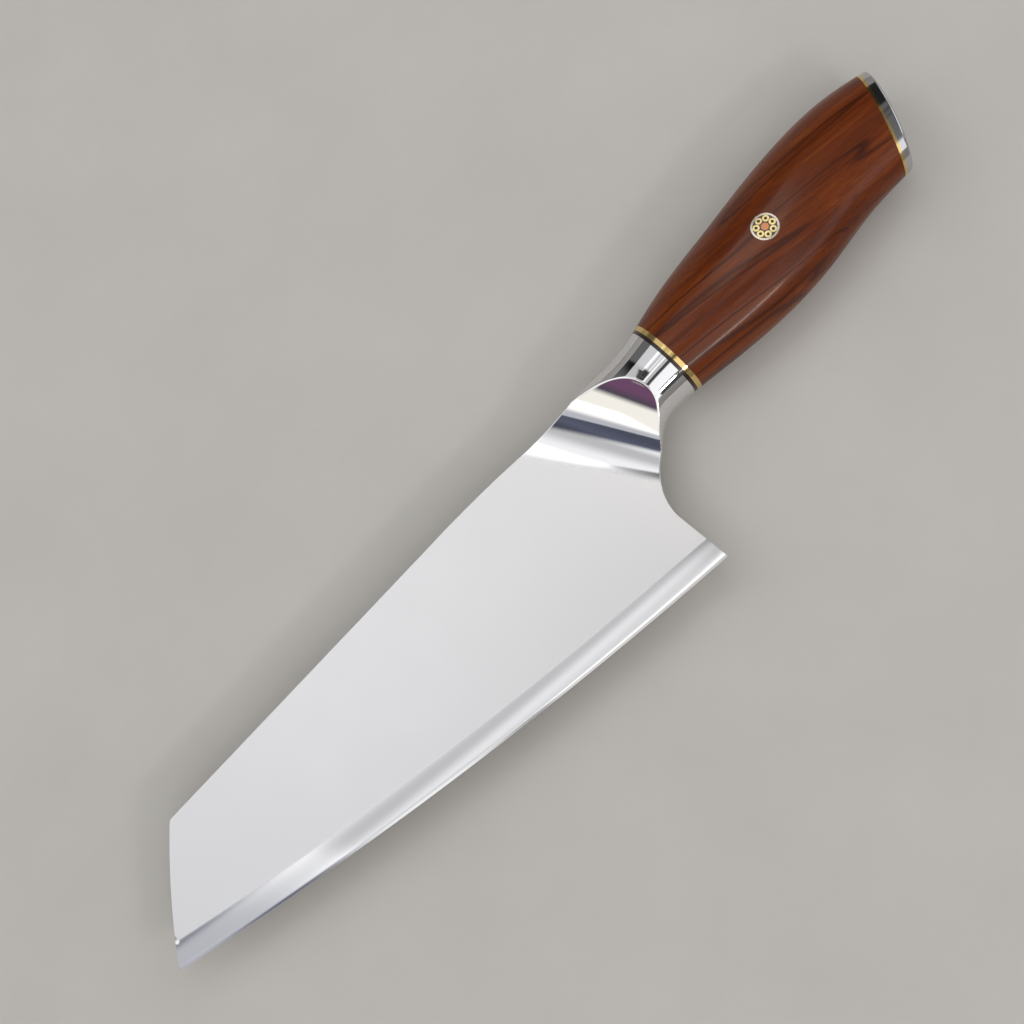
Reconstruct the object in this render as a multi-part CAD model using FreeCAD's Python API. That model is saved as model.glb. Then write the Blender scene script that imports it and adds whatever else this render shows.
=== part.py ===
import FreeCAD
import Part
import math
import os
from FreeCAD import Vector

# Kitchen knife of kiritsuke outline, lying on its right side. All sizes are millimetres.
# While the pieces are shaped, x = 0 is the rear face of the bolster's collar, y = 0 is the
# straight spine and z = 0 the middle plane of the blade. The tip points to -X, the cutting
# edge to -Y. At the end everything moves so that the origin is the bottom centre of the box.

# Side outline of the blade
edge_length = 184.8            # heel to tip, measured along the spine's direction
heel_setback = 28.0            # heel to the collar's rear face
heel_depth = 63.4              # spine down to the heel
tip_depth = 32.0               # spine down to the tip
clip_length = 25.7             # the slanted front of the spine, measured along the spine
edge_radius = 1250.0           # gentle belly of the cutting edge
clip_radius = 210.0            # the clipped front is almost straight
corner_round = 0.8             # where the spine breaks into the clip
choil_lean = 0.9               # the heel's rear edge leans forward this much
choil_turn_depth = 46.0        # depth at which that edge starts to sweep under the bolster
choil_rise = 9.0               # pull of the sweep along the heel's rear edge
choil_reach = 19.5             # pull of the sweep along the collar
spine_dip = 2.1                # the spine sinks this much into the bolster
spine_dip_ahead = 26.0         # where it is lowest
spine_bend_ahead = 80.0        # and where it leaves the straight line
spine_dip_ease = 0.6           # how far the bend stays level at its low end, as a share
outline_margin = 0.8           # the outline passes this far outside the collar

# Thickness of the blade
spine_at_bolster = 2.4
spine_at_corner = 1.6
shoulder_thickness = 1.4       # at the top of the polished bevel, near the heel
bevel_width = 7.5              # polished convex bevel above the edge
bevel_fullness = 0.62          # 0.5 would be a flat bevel
behind_edge_thickness = 0.3
edge_bevel_width = 0.8         # the sharpened bevel itself
edge_land = 0.04

# Bolster: an oval collar with a scooped ramp down to each face of the blade. The ramp is part
# of a cone that leaves the flat face along a straight foot line and gets tighter downwards.
collar_top = -0.43
collar_height = 24.1
collar_width = 21.0
waist_ahead = 7.0              # the collar is drawn in a little this far ahead of its face
waist_depth = 0.55
top_waist_ahead = 12.6         # on top it is drawn in further
top_waist_depth = 1.27
bolster_fall = 100.0           # how fast the oval bar deepens into the blade
bolster_lift = 4.85            # and how its top comes up to the spine
bolster_fall_power = 2.0       # both set in slowly
bolster_lift_power = 1.42
bolster_length = 54.0
blade_root = 24.0              # the thin plate of the blade starts this far ahead of the face
plunge_ahead = 42.8            # where the foot line starts, just under the spine
plunge_start_depth = 2.8
plunge_angle = 58.9            # slope of the foot line, down and towards the handle
scoop_radius = 42.9            # at the start of the foot line
scoop_taper = 0.34             # the radius falls this much per millimetre of the foot line
scoop_climb = 14.7             # the cut's wall runs up to this height, clear of the collar
scoop_run_before = 25.0        # the cut starts this far before the foot line
scoop_run_after = 62.0         # and ends this far along it, below the bolster

# Handle, an oval section that swells and drops like a pistol grip. Each station gives its
# place along the wood (1 is the wood's end), the rise of the top and the drop of the underside
# from the collar's, and how much wider than the collar it is at each side.
handle_stations = [
    (0.00, 0.0, 0.0, 0.0),
    (0.16, 2.95, 2.2, 0.7),
    (0.36, 5.0, 4.1, 1.3),
    (0.58, 7.1, 3.7, 1.5),
    (0.78, 8.0, 1.5, 1.2),
    (0.94, 7.0, 1.4, 0.6),
    (1.16, 1.9, 1.7, -0.2),
]
# The grip is laid up in narrow bands with straight sides, which keeps its facets few. They are
# shortest where it bends most, and one of them holds the whole mosaic pin.
grip_bands = [
    0, 0.055, 0.11, 0.17, 0.23, 0.29, 0.35, 0.40, 0.447, 0.547, 0.62, 0.70, 0.78, 0.85, 0.91, 0.97,
    1.03, 1.09, 1.16,
]
wood_end = 90.4                # collar face to the wood's rear face, on the pin's level
butt_angle = 22.5              # slant of the rear face
butt_depth = 10.5              # depth of that level below the spine line
fibre_spacer = 1.1
brass_spacer = 1.4
rear_spacer = 0.8
cap_thickness = 3.2
cap_dome_radius = 110.0
cap_rim_bevel = 0.5

# Hidden tang and its bed
tang_thickness = 4.0
tang_length = 76.0
tang_root_height = 16.0
tang_end_height = 13.0
tang_end_depth = 10.5
bed_gap = 0.4

# Mosaic pin
pin_diameter = 8.0
pin_behind_collar = 44.9
pin_depth = 10.4
pin_hole_clearance = 0.15
sleeve_wall = 0.55
tube_count = 7
tube_diameter = 1.96
tube_bore = 0.9
tube_ring_radius = 2.42
rod_diameter = 2.2

# Two dowels that hold the end cap
dowel_diameter = 3.0
dowel_spacing = 15.0
dowel_in_wood = 7.0
dowel_in_cap = 1.8

far = 400.0
collar_bottom = collar_top - collar_height
heel = Vector(-heel_setback, -heel_depth, 0)
tip = Vector(heel.x - edge_length, -tip_depth, 0)
corner = Vector(tip.x + clip_length, 0, 0)
z_up = Vector(0, 0, 1)


def mirrored(shape):
    """The same shape on the blade's other face."""
    return shape.mirror(Vector(0, 0, 0), z_up)


def oval(x, top, bottom, half_width):
    """Elliptical wire across the knife at x; the major axis is the upright one."""
    middle = Vector(x, (top + bottom) / 2, 0)
    half_height = (top - bottom) / 2
    ellipse = Part.Ellipse(middle + Vector(0, half_height, 0), middle + Vector(0, 0, half_width), middle)
    return Part.Wire([ellipse.toShape()])


def loft(sections, straight=False):
    return Part.makeLoft([oval(*section) for section in sections], True, straight)


def prism(points, low, high):
    """Straight-sided plate of the given side outline between two heights."""
    wire = Part.makePolygon([Vector(x, y, low) for x, y in points + points[:1]])
    return Part.Face(wire).extrude(Vector(0, 0, high - low))


def thickened(face, half_thickness):
    """Plate of the face's outline, as thick above the middle plane as below it."""
    plate = face.extrude(Vector(0, 0, 2 * half_thickness))
    plate.translate(Vector(0, 0, -half_thickness))
    return plate


def arc_between(start, end, radius):
    """Arc from start to end that bulges to the right of that direction."""
    middle = (start + end) / 2
    chord = end - start
    sagitta = radius - math.sqrt(radius ** 2 - (chord.Length / 2) ** 2)
    outward = chord.cross(z_up).normalize()
    return Part.Arc(start, middle + outward * sagitta, end)


def sweep_curve():
    """The choil's sweep from the heel's rear edge to the underside of the collar."""
    start = Vector(heel.x - choil_lean, -choil_turn_depth, 0)
    end = Vector(0, collar_bottom - outline_margin, 0)
    curve = Part.BezierCurve()
    curve.setPoles([start, start + Vector(0, choil_rise, 0), end - Vector(choil_reach, 0, 0), end])
    return curve


def forging_outline():
    """Side outline of blade and bolster, from the tip to the collar's rear face."""
    sweep = sweep_curve()
    collar_under = sweep.EndPoint
    dip_start = Vector(-spine_bend_ahead, 0, 0)
    dip_end = Vector(-spine_dip_ahead, -spine_dip, 0)
    pull = Vector((spine_bend_ahead - spine_dip_ahead) / 2, 0, 0)
    dip = Part.BezierCurve()
    dip.setPoles([dip_start, dip_start + pull, dip_end - pull * spine_dip_ease, dip_end])
    top_end = Vector(0, collar_top + outline_margin, 0)
    along = (tip - corner).normalize()
    clip_start = corner + along * corner_round
    spine_end = corner + Vector(corner_round, 0, 0)
    clip = arc_between(clip_start, tip, clip_radius).toShape()
    corner_curve = Part.BezierCurve()
    corner_curve.setPoles([spine_end, corner, clip_start])
    edges = [
        Part.LineSegment(top_end, dip_end).toShape(),
        dip.toShape(),
        Part.LineSegment(dip_start, spine_end).toShape(),
        corner_curve.toShape(),
        clip,
        arc_between(tip, heel, edge_radius).toShape(),
        Part.LineSegment(heel, sweep.StartPoint).toShape(),
        sweep.toShape(),
        Part.LineSegment(collar_under, top_end).toShape(),
    ]
    return Part.Wire(edges)


def face_plane():
    """The blade's flat face: a point on it and its outward normal, from three thicknesses."""
    at_bolster = Vector(-plunge_ahead, 0, spine_at_bolster / 2)
    at_corner = Vector(corner.x, 0, spine_at_corner / 2)
    at_shoulder = Vector(heel.x, heel.y + bevel_width, shoulder_thickness / 2)
    normal = (at_shoulder - at_bolster).cross(at_corner - at_bolster).normalize()
    if normal.z < 0:
        normal = normal * -1
    return at_bolster, normal


def face_height(x, y):
    point, normal = face_plane()
    return point.z - (normal.x * (x - point.x) + normal.y * (y - point.y)) / normal.z


def grinding_tools():
    """What is ground away above the upper face: all over the flat, then over the ramp."""
    normal = face_plane()[1]
    start_y = -plunge_start_depth
    foot = Vector(-plunge_ahead, start_y, face_height(-plunge_ahead, start_y))
    slope = math.radians(plunge_angle)
    along = Vector(math.cos(slope), -math.sin(slope), 0)
    along = (along - normal * along.dot(normal)).normalize()
    towards_handle = normal.cross(along)
    if towards_handle.x < 0:
        towards_handle = towards_handle * -1

    def ramp_section(distance):
        """Outline of the cut over the ramp, across the foot line at that distance along it."""
        radius = scoop_radius - scoop_taper * distance
        turn = math.acos(1 - scoop_climb / radius)
        start = foot + along * distance
        centre = start + normal * radius
        half_way, end = [
            centre + (towards_handle * math.sin(angle) - normal * math.cos(angle)) * radius
            for angle in (turn / 2, turn)
        ]
        above_end = end + normal * scoop_climb
        above_start = start + normal * (2 * scoop_climb)
        return Part.Wire([
            Part.Arc(start, half_way, end).toShape(),
            Part.LineSegment(end, above_end).toShape(),
            Part.LineSegment(above_end, above_start).toShape(),
            Part.LineSegment(above_start, start).toShape(),
        ])

    ramp = Part.makeLoft([ramp_section(-scoop_run_before), ramp_section(scoop_run_after)], True, True)
    near, beyond = foot - along * far, foot + along * far
    ahead = towards_handle * -far
    flat = Part.Face(Part.makePolygon([near, beyond, beyond + ahead, near + ahead, near]))
    return [flat.extrude(normal * (2 * scoop_climb)), ramp]


def bevel_tool():
    """Cutter for the convex bevel and the sharpened bevel, lofted along the edge's arc."""
    arc = arc_between(tip, heel, edge_radius).toShape()
    circle = arc.Curve
    first, last = arc.ParameterRange
    overrun = 0.06 * (last - first)
    stations = 6
    centre = circle.Center
    wires = []
    for i in range(stations + 1):
        angle = first - overrun + (last - first + 2 * overrun) * i / stations
        on_edge = circle.value(angle)
        inward = (centre - on_edge).normalize()
        shoulder = on_edge + inward * bevel_width
        shoulder_z = face_height(shoulder.x, shoulder.y)
        behind_z = behind_edge_thickness / 2
        belly_z = behind_z + bevel_fullness * (shoulder_z - behind_z)
        rise = (shoulder_z - belly_z) / (bevel_width / 2)
        edge_rise = (behind_z - edge_land / 2) / edge_bevel_width
        section = [
            (2 * bevel_width, shoulder_z + rise * bevel_width),
            (0.5 * (bevel_width + edge_bevel_width), belly_z),
            (edge_bevel_width, behind_z),
            (-edge_bevel_width, behind_z - 2 * edge_bevel_width * edge_rise),
            (-edge_bevel_width, spine_at_bolster),
            (2 * bevel_width, spine_at_bolster),
        ]
        points = [on_edge + inward * reach + z_up * height for reach, height in section]
        wires.append(Part.makePolygon(points + points[:1]))
    return Part.makeLoft(wires, True, False)


def bolster_stock():
    """Oval bar that the bolster is ground from; it deepens forward into the blade."""
    half_width = collar_width / 2
    ahead = [0.0, waist_ahead, 2 * waist_ahead]
    ahead += [2 * waist_ahead + (bolster_length - 2 * waist_ahead) * step / 4 for step in (1, 2, 3, 4)]
    sections = []
    for distance in ahead:
        past_waist = max(0.0, distance - waist_ahead)
        drawn_in = waist_depth * math.sin(math.pi / 2 * min(1.0, distance / waist_ahead))
        sunk = top_waist_depth * math.sin(math.pi / 2 * min(1.0, distance / top_waist_ahead))
        spread = past_waist / (bolster_length - waist_ahead)
        top = collar_top - sunk + bolster_lift * spread ** bolster_lift_power
        bottom = collar_bottom + drawn_in - bolster_fall * spread ** bolster_fall_power
        sections.append((-distance, top, bottom, half_width - drawn_in))
    return loft(sections)


def tang_outline(grow):
    """Side outline of the tang, drawn larger by grow for the bed around it."""
    root = collar_top - collar_height / 2
    end = -tang_end_depth
    start_x = 0.0 if grow else -waist_ahead / 2
    tail = tang_length + grow
    round_off = tang_end_height / 4
    return [
        (start_x, root + tang_root_height / 2 + grow),
        (tail - round_off, end + tang_end_height / 2 + grow),
        (tail, end + tang_end_height / 2 + grow - round_off),
        (tail, end - tang_end_height / 2 - grow + round_off),
        (tail - round_off, end - tang_end_height / 2 - grow),
        (start_x, root - tang_root_height / 2 - grow),
    ]


def tang(grow=0.0):
    half = tang_thickness / 2 + grow
    return prism(tang_outline(grow), -half, half)


def pin_cylinder(radius, dx=0.0, dy=0.0):
    """Cylinder through the handle on the mosaic pin's axis, or beside it."""
    base = Vector(pin_behind_collar + dx, -pin_depth + dy, -collar_width)
    return Part.makeCylinder(radius, 2 * collar_width, base, z_up)


def blade():
    """Blade, bolster and tang, forged in one piece."""
    outline = Part.Face(forging_outline())
    thick_plate = thickened(outline, collar_width)
    thin_plate = thickened(outline, spine_at_bolster)
    body = thin_plate.common(slab(-far, -blade_root))
    body = body.fuse(bolster_stock().common(thick_plate))
    upper_tools = grinding_tools() + [bevel_tool()]
    body = body.cut(upper_tools + [mirrored(tool) for tool in upper_tools])
    body = body.fuse(tang())
    body = body.cut(pin_cylinder(pin_diameter / 2 + pin_hole_clearance))
    return body.removeSplitter()


def handle_form():
    """Outer surface of the whole grip, from the collar face to past the end cap."""
    half_width = collar_width / 2
    shares = [float(station[0]) for station in handle_stations]
    top_points = []
    under_points = []
    for share, rise, drop, swell in handle_stations:
        top_points.append(Vector(share * wood_end, collar_top + rise, 0))
        under_points.append(Vector(share * wood_end, collar_bottom - drop, half_width + swell))
    top_line = Part.BSplineCurve()
    top_line.interpolate(Points=top_points, Parameters=shares)
    under_line = Part.BSplineCurve()
    under_line.interpolate(Points=under_points, Parameters=shares)
    sections = []
    for share in grip_bands:
        top = top_line.value(share)
        under = under_line.value(share)
        sections.append((top.x, top.y, under.y, under.z))
    return loft(sections, True)


def slab(start, end):
    """Everything between two cross planes."""
    return Part.makeBox(end - start, far, far, Vector(start, -far / 2, -far / 2))


def butt_frame():
    """Centre of the wood's slanted rear face, its outward normal and its own upward line."""
    slant = math.radians(butt_angle)
    centre = Vector(wood_end, -butt_depth, 0)
    outward = Vector(math.cos(slant), -math.sin(slant), 0)
    upward = Vector(math.sin(slant), math.cos(slant), 0)
    return centre, outward, upward


def beyond_butt(offset):
    """Everything behind the plane that lies offset behind the wood's rear face."""
    centre, outward, upward = butt_frame()
    side = upward * (far / 2) + z_up * (far / 2)
    start = centre + outward * offset - side
    points = [start, start + upward * far, start + upward * far + z_up * far, start + z_up * far]
    return Part.Face(Part.makePolygon(points + points[:1])).extrude(outward * far)


def cap_dowels():
    centre, outward, upward = butt_frame()
    length = dowel_in_wood + rear_spacer + dowel_in_cap
    dowels = []
    for side in (-1, 1):
        base = centre + upward * (side * dowel_spacing / 2) - outward * dowel_in_wood
        dowels.append(Part.makeCylinder(dowel_diameter / 2, length, base, outward))
    return Part.makeCompound(dowels)


def end_cap(form, dowels):
    """Polished steel cap with a domed rear face and a bevelled rim."""
    centre, outward, upward = butt_frame()
    dome_centre = centre + outward * (rear_spacer + cap_thickness - cap_dome_radius)
    dome = Part.makeSphere(cap_dome_radius, dome_centre)
    cap = form.common(beyond_butt(rear_spacer)).common(dome)
    front = rear_spacer + 0.5 * cap_thickness
    rim = [edge for edge in cap.Edges if (edge.CenterOfMass - centre).dot(outward) > front]
    return cap.makeChamfer(cap_rim_bevel, rim).cut(dowels)


def mosaic_pin(form):
    """The pin's pieces by name: sleeve, ring of tubes with filled bores, rod and resin."""
    radius = pin_diameter / 2
    bore = radius - sleeve_wall
    pieces = {"mosaic_pin_sleeve": pin_cylinder(radius).cut(pin_cylinder(bore))}
    filling = [pin_cylinder(rod_diameter / 2)]
    pieces["mosaic_pin_rod"] = filling[0]
    for i in range(tube_count):
        angle = math.radians(90) + 2 * math.pi * i / tube_count
        dx = tube_ring_radius * math.cos(angle)
        dy = tube_ring_radius * math.sin(angle)
        tube = pin_cylinder(tube_diameter / 2, dx, dy)
        core = pin_cylinder(tube_bore / 2, dx, dy)
        filling.append(tube)
        pieces["mosaic_pin_tube_%d" % (i + 1)] = tube.cut(core)
        pieces["mosaic_pin_core_%d" % (i + 1)] = core
    pieces["mosaic_pin_resin"] = pin_cylinder(bore).cut(filling)
    return {name: piece.common(form) for name, piece in pieces.items()}


def build():
    form = handle_form()
    bed = tang(bed_gap)
    pin = pin_cylinder(pin_diameter / 2)
    dowels = cap_dowels()
    forging = blade()
    brass_start = fibre_spacer
    wood_start = fibre_spacer + brass_spacer
    pieces = {
        "blade": forging,
        "front_spacer_fibre": form.common(slab(0, brass_start)).cut(bed),
        "front_spacer_brass": form.common(slab(brass_start, wood_start)).cut(bed),
        "handle_body": form.common(slab(wood_start, far)).cut([beyond_butt(0), bed, pin, dowels]),
        "tang_bedding": bed.cut([forging, pin]),
        "rear_spacer_brass": form.common(beyond_butt(0)).cut([beyond_butt(rear_spacer), dowels]),
        "end_cap": end_cap(form, dowels),
        "end_cap_dowels": dowels,
    }
    pieces.update(mosaic_pin(form))
    return pieces


def to_bottom_centre(pieces):
    """Moves every piece so that the origin is the bottom centre of the whole knife's box."""
    box = FreeCAD.BoundBox()
    for piece in pieces.values():
        for point in piece.tessellate(0.02)[0]:
            box.add(point)
    shift = Vector(-(box.XMin + box.XMax) / 2, -(box.YMin + box.YMax) / 2, -box.ZMin)
    for piece in pieces.values():
        piece.translate(shift)
    print("size %.2f x %.2f x %.2f mm" % (box.XLength, box.YLength, box.ZLength))
    print("collar face, spine line and middle plane now at", [round(value, 3) for value in shift])
    return shift


def main():
    os.makedirs("parts", exist_ok=True)
    pieces = build()
    to_bottom_centre(pieces)
    for name, piece in pieces.items():
        if not piece.isValid():
            print("not valid:", name)
        print("%-22s solids %d  volume %.1f mm3" % (name, len(piece.Solids), piece.Volume))
        piece.exportStep("parts/%s.step" % name)


main()
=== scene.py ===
import math
import bmesh
import bpy
import numpy as np
from mathutils import Matrix, Vector


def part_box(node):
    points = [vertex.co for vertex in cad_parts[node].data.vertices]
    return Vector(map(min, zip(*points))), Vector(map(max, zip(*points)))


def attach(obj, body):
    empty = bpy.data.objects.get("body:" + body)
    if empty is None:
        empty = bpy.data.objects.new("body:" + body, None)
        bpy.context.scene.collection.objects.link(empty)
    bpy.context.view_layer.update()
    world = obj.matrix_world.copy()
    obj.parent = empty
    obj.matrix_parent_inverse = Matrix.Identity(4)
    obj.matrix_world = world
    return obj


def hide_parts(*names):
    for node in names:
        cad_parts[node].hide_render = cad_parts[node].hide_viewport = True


# Kitchen knife lying on its right side. Shapes are worked out in millimetres from the datum:
# the rear face of the bolster's collar, the line of the spine and the middle plane of the blade.

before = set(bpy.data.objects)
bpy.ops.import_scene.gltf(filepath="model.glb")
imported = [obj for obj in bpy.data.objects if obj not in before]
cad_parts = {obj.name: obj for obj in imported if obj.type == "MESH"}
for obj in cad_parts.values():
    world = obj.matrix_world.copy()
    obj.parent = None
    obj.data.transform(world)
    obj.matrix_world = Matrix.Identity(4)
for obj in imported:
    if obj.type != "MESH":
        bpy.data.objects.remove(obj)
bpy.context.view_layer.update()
print("frame loaded")

blade = {
    "edgeLength": 184.8, "heelSetback": 28.0, "heelDepth": 63.4, "tipDepth": 32.0,
    "clipLength": 25.7, "edgeRadius": 1250.0, "clipRadius": 210.0, "cornerRound": 0.8,
    "choilLean": 0.9, "choilTurnDepth": 46.0, "choilRise": 9.0, "choilReach": 19.5,
    "spineDip": 2.1, "dipAhead": 26.0, "bendAhead": 80.0, "dipEase": 0.6,
    "spineAtBolster": 2.4, "spineAtCorner": 1.6, "shoulderThickness": 1.4,
    "bevelWidth": 7.5, "bevelFullness": 0.62, "behindEdge": 0.3, "edgeBevel": 0.8,
    "edgeLand": 0.04, "easedEdge": 0.28,
}
bolster = {
    "top": -0.43, "height": 24.1, "width": 21.0, "length": 54.0, "margin": 0.8,
    "waistAhead": 7.0, "waistDepth": 0.55, "topWaistAhead": 12.6, "topWaistDepth": 1.27,
    "fall": 100.0, "fallPower": 2.0, "lift": 4.85, "liftPower": 1.42,
    "plungeAhead": 42.8, "plungeDepth": 2.8, "plungeAngle": 58.9,
    "scoopRadius": 42.9, "scoopTaper": 0.34, "scoopLeast": 10.0, "scoopMost": 80.0,
    "crestRound": 0.35, "bladeRoot": 24.0,
}
bolster["bottom"] = bolster["top"] - bolster["height"]

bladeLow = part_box("blade")[0]
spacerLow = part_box("front_spacer_fibre")[0]
bodyLow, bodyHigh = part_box("handle_body")
datum = np.array([
    spacerLow.x * 1000,
    bladeLow.y * 1000 + blade["heelDepth"],
    (bodyLow.z + bodyHigh.z) * 500,
])


def toFrame(points):
    # millimetres from the datum to metres in the frame
    return (np.asarray(points, float) + datum) * 0.001


def hexColour(text):
    # sRGB hex to linear: each channel is ((c + 0.055) / 1.055) ^ 2.4 above the toe
    channels = np.array([int(text[i:i + 2], 16) / 255 for i in (1, 3, 5)])
    linear = np.where(channels < 0.04045, channels / 12.92, ((channels + 0.055) / 1.055) ** 2.4)
    return (*linear.tolist(), 1.0)


def addNode(tree, kind, inputs=None, **settings):
    # one node; inputs maps a socket's name or number to a value or to another node's socket
    node = tree.nodes.new(kind)
    for name, value in settings.items():
        setattr(node, name, value)
    for key, value in (inputs or {}).items():
        if isinstance(value, bpy.types.NodeSocket):
            tree.links.new(value, node.inputs[key])
        else:
            node.inputs[key].default_value = value
    return node


def newMaterial(name, inputs):
    material = bpy.data.materials.new(name)
    material.use_nodes = True
    tree = material.node_tree
    tree.nodes.clear()
    surface = addNode(tree, "ShaderNodeBsdfPrincipled", inputs)
    addNode(tree, "ShaderNodeOutputMaterial", {"Surface": surface.outputs[0]})
    return material, tree, surface


def colourRamp(tree, factor, stops, **settings):
    node = addNode(tree, "ShaderNodeValToRGB", {0: factor}, **settings)
    elements = node.color_ramp.elements
    while len(elements) < len(stops):
        elements.new(0.5)
    for element, (place, colour) in zip(elements, stops):
        element.position = place
        element.color = hexColour(colour) if isinstance(colour, str) else (colour,) * 3 + (1.0,)
    return node.outputs["Color"]


def millimetres(tree, sizes, rotation=(0, 0, 0)):
    # Object coordinates along axes turned by the rotation, one unit being that many millimetres
    place = addNode(tree, "ShaderNodeTexCoord").outputs["Object"]
    return addNode(tree, "ShaderNodeMapping", {
        "Vector": place, "Rotation": rotation, "Scale": tuple(size * 0.001 for size in sizes),
    }, vector_type="TEXTURE").outputs[0]


# Forged stainless steel: the flats are satin from a fine belt, the bolster and the bevels are
# buffed. The eye sees a pale, soft sheen that sharpens into mirror bands on the bolster.
steelLook = {"colour": "#E6E6E8", "satin": 0.30, "mirror": 0.045, "beltLines": 0.25,
             "bevelPolish": 0.80, "honedPolish": 0.85, "buffFrom": -3.2, "buffTo": -0.2}


def makeSteel():
    material, tree, surface = newMaterial("satinAndBuffedSteel", {
        "Base Color": hexColour(steelLook["colour"]), "Metallic": 1.0,
    })
    # how far a point lies past the foot of the bolster's ramp, and how far in from the edge
    place = addNode(tree, "ShaderNodeTexCoord").outputs["Object"]
    level = addNode(tree, "ShaderNodeVectorMath", {
        0: place, 1: (1000, 1000, 0), 2: (-datum[0], -datum[1], 0),
    }, operation="MULTIPLY_ADD").outputs[0]
    past = addNode(tree, "ShaderNodeVectorMath", {0: level, 1: (*footAcross, 0)},
                   operation="DOT_PRODUCT").outputs["Value"]
    fromCentre = addNode(tree, "ShaderNodeVectorMath", {0: level, 1: (*edgeCentre, 0)},
                         operation="DISTANCE").outputs["Value"]
    foot = float(footStart @ footAcross)
    buffed = addNode(tree, "ShaderNodeMapRange", {
        "Value": past,
        "From Min": foot + steelLook["buffFrom"], "From Max": foot + steelLook["buffTo"],
    }, interpolation_type="SMOOTHSTEP").outputs[0]
    shoulderAt = blade["edgeRadius"] - blade["bevelWidth"]
    honedAt = blade["edgeRadius"] - blade["edgeBevel"]
    bevelled = addNode(tree, "ShaderNodeMapRange", {
        "Value": fromCentre, "From Min": shoulderAt - 0.1, "From Max": shoulderAt + 0.6,
        "To Max": steelLook["bevelPolish"],
    }).outputs[0]
    honed = addNode(tree, "ShaderNodeMapRange", {
        "Value": fromCentre, "From Min": honedAt - 0.05, "From Max": honedAt + 0.05,
        "To Max": steelLook["honedPolish"],
    }).outputs[0]
    polish = addNode(tree, "ShaderNodeMath", {0: buffed, 1: bevelled}, operation="MAXIMUM").outputs[0]
    polish = addNode(tree, "ShaderNodeMath", {0: polish, 1: honed}, operation="MAXIMUM").outputs[0]
    # belt marks run from spine to edge; the real ones are finer and are drawn 0.25 mm apart
    grain = addNode(tree, "ShaderNodeTexNoise", {
        "Vector": millimetres(tree, (steelLook["beltLines"], 14.0, 14.0), (0, 0, 0.16)),
        "Scale": 1.0, "Detail": 3.0, "Roughness": 0.6,
    }).outputs[0]
    cloud = addNode(tree, "ShaderNodeTexNoise", {
        "Vector": millimetres(tree, (14.0, 14.0, 14.0)), "Scale": 1.0, "Detail": 4.0,
    }).outputs[0]
    satin = addNode(tree, "ShaderNodeMath", {0: grain, 1: 0.06, 2: steelLook["satin"] - 0.055},
                    operation="MULTIPLY_ADD").outputs[0]
    satin = addNode(tree, "ShaderNodeMath", {0: cloud, 1: 0.05, 2: satin},
                    operation="MULTIPLY_ADD").outputs[0]
    rough = addNode(tree, "ShaderNodeMix", {"Factor": polish, "A": satin, "B": steelLook["mirror"]})
    clear = addNode(tree, "ShaderNodeMath", {0: 1.0, 1: polish}, operation="SUBTRACT").outputs[0]
    depth = addNode(tree, "ShaderNodeMath", {0: clear, 1: 0.10}, operation="MULTIPLY").outputs[0]
    bump = addNode(tree, "ShaderNodeBump", {"Height": grain, "Strength": depth, "Distance": 0.00002})
    tree.links.new(rough.outputs[0], surface.inputs["Roughness"])
    tree.links.new(bump.outputs[0], surface.inputs["Normal"])
    return material


# Oily orange-brown tropical hardwood, sanded fine and buffed: long straight grain that leans a
# little across the handle, a few thin dark veins, hair-fine pores, and a soft gloss with no film.
woodLook = {
    "tones": [(0.30, "#4E1B02"), (0.44, "#612703"), (0.54, "#713105"), (0.66, "#833F08")],
    "vein": "#2E0F04", "pore": "#240B03", "lean": -8.0, "rough": 0.34,
}


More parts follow.
